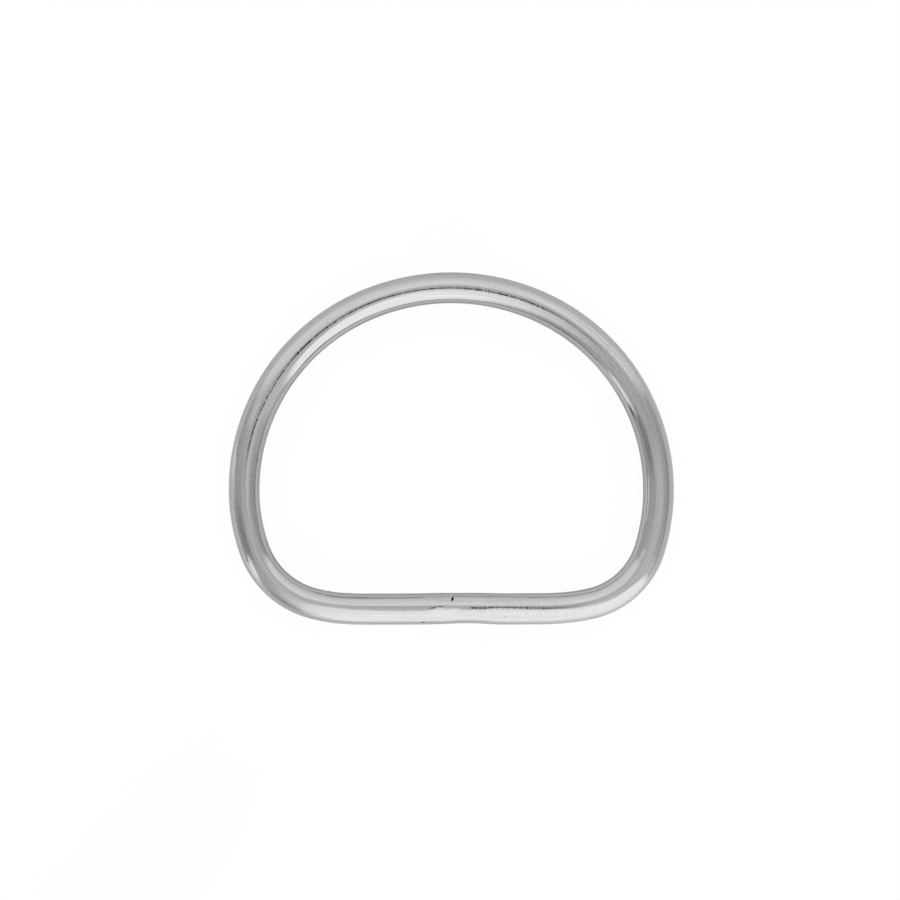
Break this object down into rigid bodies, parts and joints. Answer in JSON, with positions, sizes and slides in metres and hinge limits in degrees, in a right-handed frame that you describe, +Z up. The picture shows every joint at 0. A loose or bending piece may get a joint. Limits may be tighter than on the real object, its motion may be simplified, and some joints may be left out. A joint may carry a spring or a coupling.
{
  "type": "d ring",
  "caption": "D-shaped ring of round steel wire, nickel plated, butt welded in its straight bar, for joining a strap to a clip, hook or second strap.",
  "frame": {"origin": "under the middle of the ring's bounding box, on the surface that it lies on", "axes": "+X along the straight bar towards the right corner, +Y from the bar towards the crown of the arch, +Z up from the surface that the ring lies on"},
  "size_m": [0.058, 0.0458, 0.004],
  "materials": {
    "nickel": "polished nickel plate over drawn wire, with faint lengthwise draw lines and a dressed butt weld"
  },
  "bodies": {
    "root": {"ring": "nickel"}
  },
  "joints": []
}
